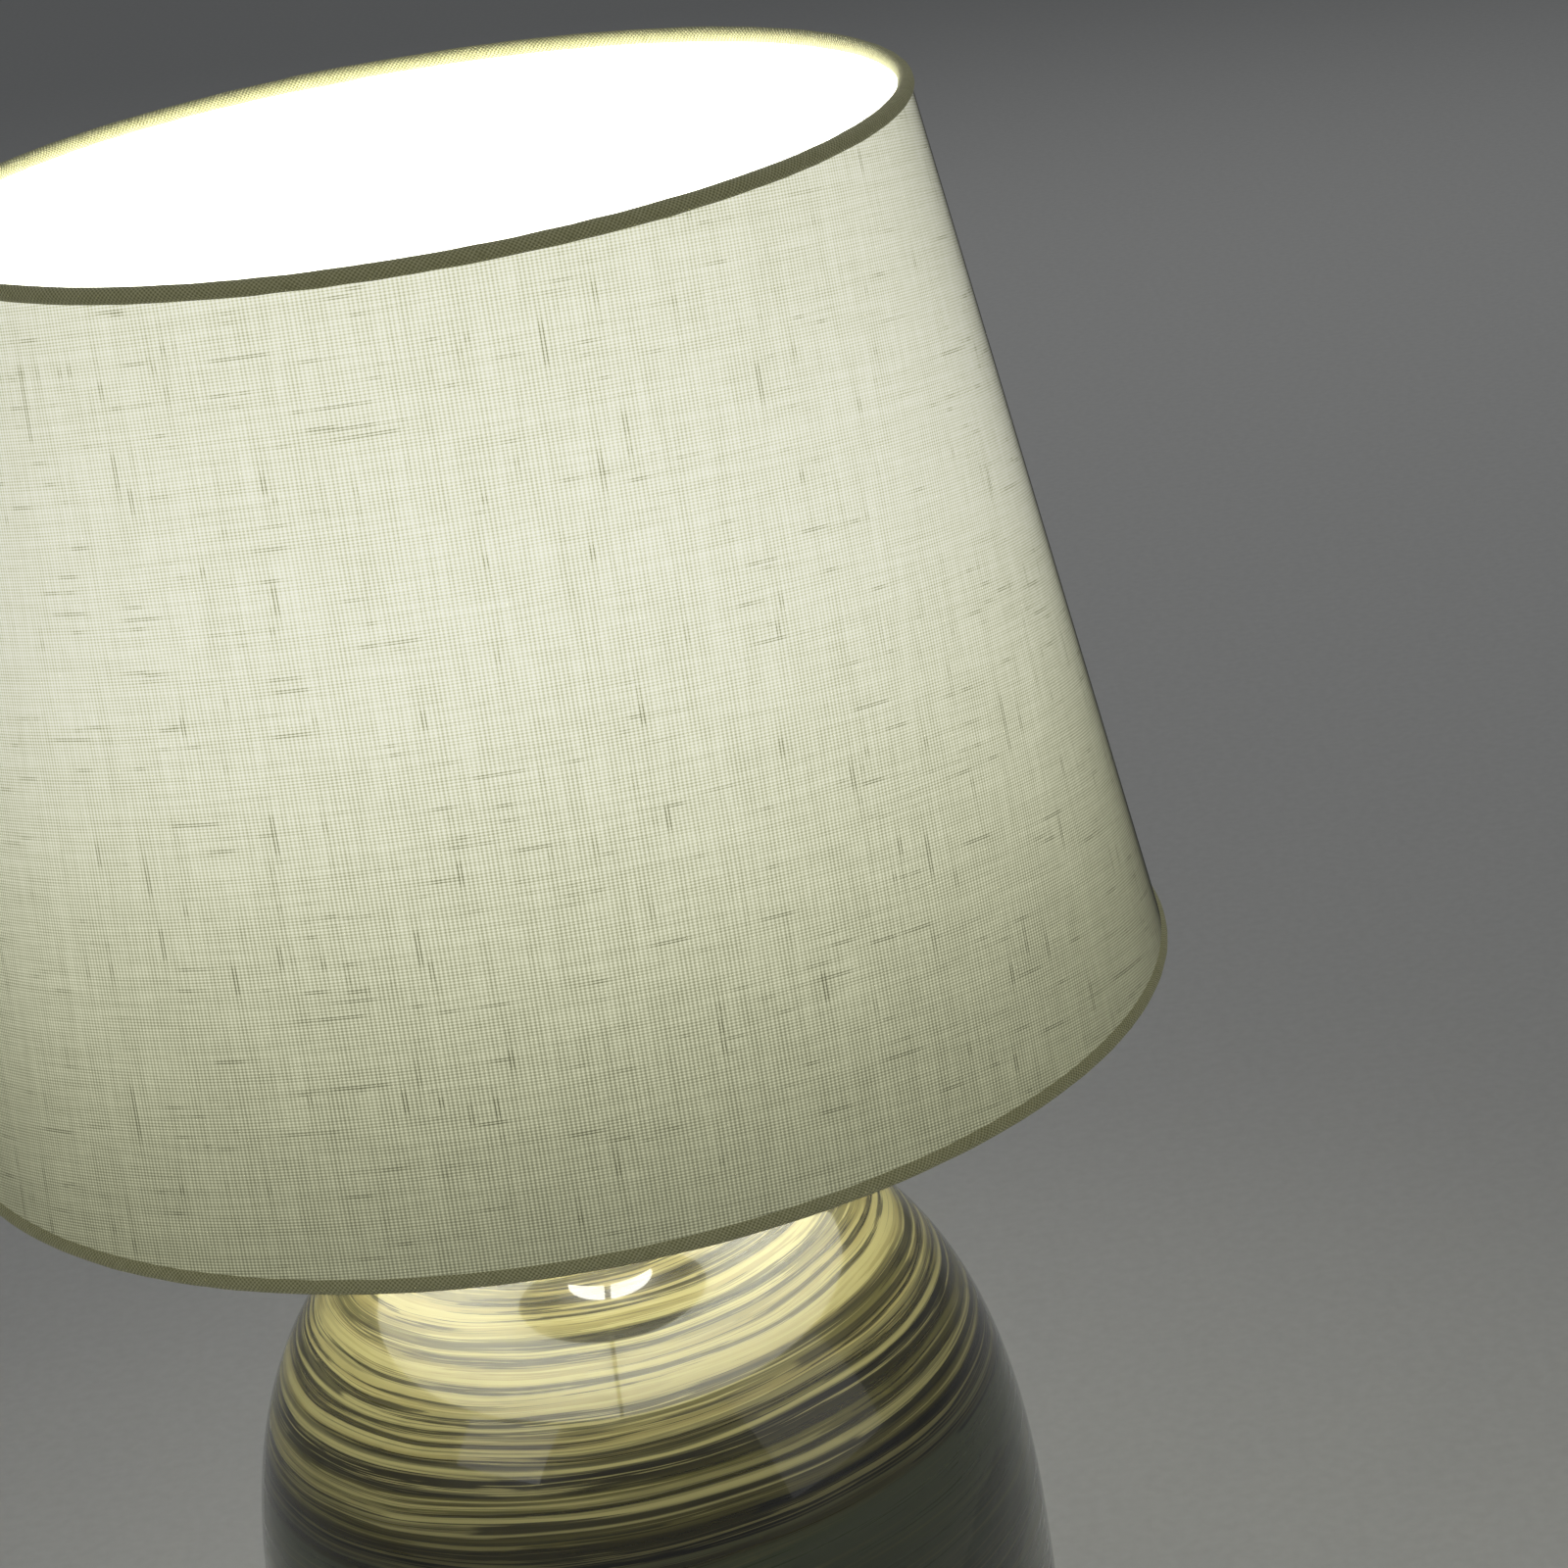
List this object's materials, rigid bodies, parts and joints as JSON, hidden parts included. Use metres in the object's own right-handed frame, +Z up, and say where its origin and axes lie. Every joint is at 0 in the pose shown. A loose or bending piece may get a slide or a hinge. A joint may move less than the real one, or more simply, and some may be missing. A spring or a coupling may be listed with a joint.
{
  "type": "table lamp with shade",
  "caption": "Table lamp with a tapered linen drum shade on a domed, banded and glazed ceramic body, with a screw-cap bulb and a push-bar switch.",
  "frame": {"origin": "middle of the underside, where the felt pad rests", "axes": "+Z up the lamp's axis, -Y is the front, +Y is the back with the cord inlet"},
  "size_m": [0.3042, 0.3042, 0.5031],
  "materials": {
    "glaze": "clear gloss glaze over brushed bands",
    "linen": "plain-weave slub linen",
    "edge_cloth": "bias-cut linen, rolled",
    "liner": "matt styrene film",
    "enamel_wire": "white powder coat",
    "felt": "pressed wool felt",
    "zinc_steel": "zinc plated",
    "brass": "brushed and lacquered",
    "rubber": "moulded",
    "holder_plastic": "satin moulded",
    "steatite": "unglazed",
    "opal_glass": "opal white",
    "cap_metal": "rolled sheet",
    "black_glass": "glossy black"
  },
  "bodies": {
    "lamp": {"ceramic_body": "glaze", "cord_inlet_bush": "rubber", "foot_felt": "felt", "base_plate": "zinc_steel", "base_washer": "zinc_steel", "base_nut": "zinc_steel", "threaded_rod": "zinc_steel", "neck_washer": "rubber", "neck_cap": "brass", "neck_tube": "brass", "holder_lock_nut": "zinc_steel", "holder_cap": "holder_plastic", "holder_sleeve": "holder_plastic", "holder_insert": "steatite", "screw_shell": "brass", "centre_contact": "brass", "switch_block": "black_glass", "terminal_screw_1": "zinc_steel", "terminal_screw_2": "zinc_steel", "lower_shade_ring": "holder_plastic"},
    "shade": {"shade_linen": "linen", "shade_liner": "liner", "bottom_ring_wire": "enamel_wire", "top_ring_wire": "enamel_wire", "bottom_edge_trim": "edge_cloth", "top_edge_trim": "edge_cloth", "fitter_ring": "enamel_wire", "fitter_arm_1": "enamel_wire", "fitter_arm_2": "enamel_wire", "fitter_arm_3": "enamel_wire"},
    "clamp_ring": {"upper_shade_ring": "holder_plastic"},
    "bulb_foot": {"bulb_tip": "cap_metal"},
    "bulb": {"bulb_screw_cap": "cap_metal", "bulb_insulator": "black_glass", "bulb_glass": "opal_glass", "bulb_light_plate": "steatite"},
    "switch": {"switch_bar": "holder_plastic"}
  },
  "joints": [
    {"name": "shade_turn", "type": "hinge", "parent": "lamp", "child": "shade", "pos_m": [0, 0, 0.3066], "axis": [0, 0, 1], "continuous": true},
    {"name": "clamp_ring_lift", "type": "slide", "parent": "lamp", "child": "clamp_ring", "axis": [0, 0, 1], "range_m": [0, 0.018]},
    {"name": "bulb_rise", "type": "slide", "parent": "lamp", "child": "bulb_foot", "axis": [0, 0, 1], "range_m": [0, 0.0145]},
    {"name": "bulb_turn", "type": "hinge", "parent": "bulb_foot", "child": "bulb", "pos_m": [0, 0, 0.32], "axis": [0, 0, 1], "range_deg": [0, 1440]},
    {"name": "switch_push", "type": "slide", "parent": "lamp", "child": "switch", "axis": [1, 0, 0], "range_m": [0, 0.006]}
  ],
  "couplings": [
    {"joint": "bulb_rise", "follows": "bulb_turn", "m_per_rad": 0.000576}
  ]
}
